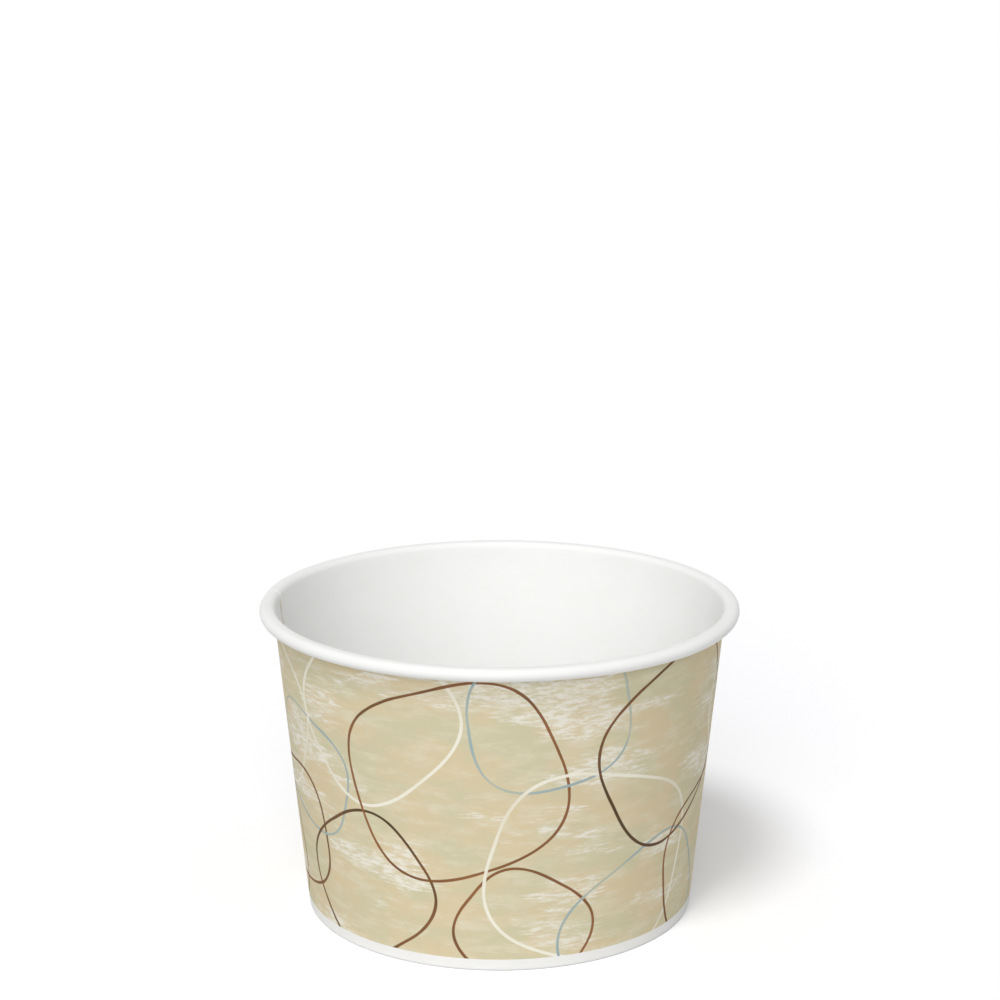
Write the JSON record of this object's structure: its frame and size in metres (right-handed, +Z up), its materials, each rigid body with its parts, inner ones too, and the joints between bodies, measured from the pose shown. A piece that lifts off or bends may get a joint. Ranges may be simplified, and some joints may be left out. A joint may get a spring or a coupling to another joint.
{
  "type": "paper food container",
  "caption": "Squat tapered paper food container with a rolled rim, a lapped side seam and a recessed bottom, open at the top.",
  "frame": {"origin": "centre of the foot, on the table", "axes": "+Z up along the container's axis, -Y towards the viewer of the picture, and the side seam near -X"},
  "size_m": [0.091, 0.091, 0.0596],
  "materials": {
    "sidewall": "matte",
    "bottom_disc": "satin"
  },
  "bodies": {
    "root": {"sidewall": "sidewall", "bottom_disc": "bottom_disc"}
  },
  "joints": []
}
